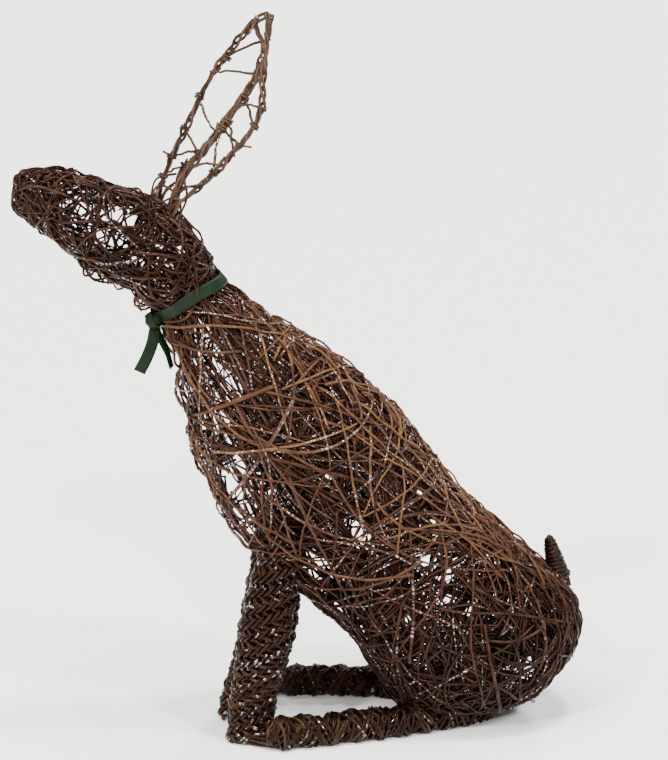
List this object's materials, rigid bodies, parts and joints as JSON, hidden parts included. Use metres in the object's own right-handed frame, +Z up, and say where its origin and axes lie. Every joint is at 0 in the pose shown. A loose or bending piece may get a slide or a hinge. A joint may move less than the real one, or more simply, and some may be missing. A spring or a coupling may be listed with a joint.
{
  "type": "woven willow hare",
  "caption": "Sitting hare garden sculpture woven from willow rods, with open ears, twined forelegs, long wound hind feet and a ribbon tied round the neck.",
  "frame": {"origin": "on the ground, under the middle of the whole hare's box", "axes": "+Z up, -X the way the hare looks, -Y its left side"},
  "size_m": [0.6012, 0.2046, 0.7628],
  "materials": {
    "willow": "brown willow bark, slightly glossy",
    "pale_willow": "golden brown willow bark, satin",
    "dark_willow": "dark brown fine willow, satin",
    "ribbon": "green woven satin ribbon"
  },
  "bodies": {
    "root": {"woven_body": "willow", "ear_left": "pale_willow", "ear_right": "pale_willow", "foreleg_left": "dark_willow", "foreleg_right": "dark_willow", "hind_foot_left": "dark_willow", "hind_foot_right": "dark_willow", "tail": "dark_willow", "neck_ribbon": "ribbon"}
  },
  "joints": []
}
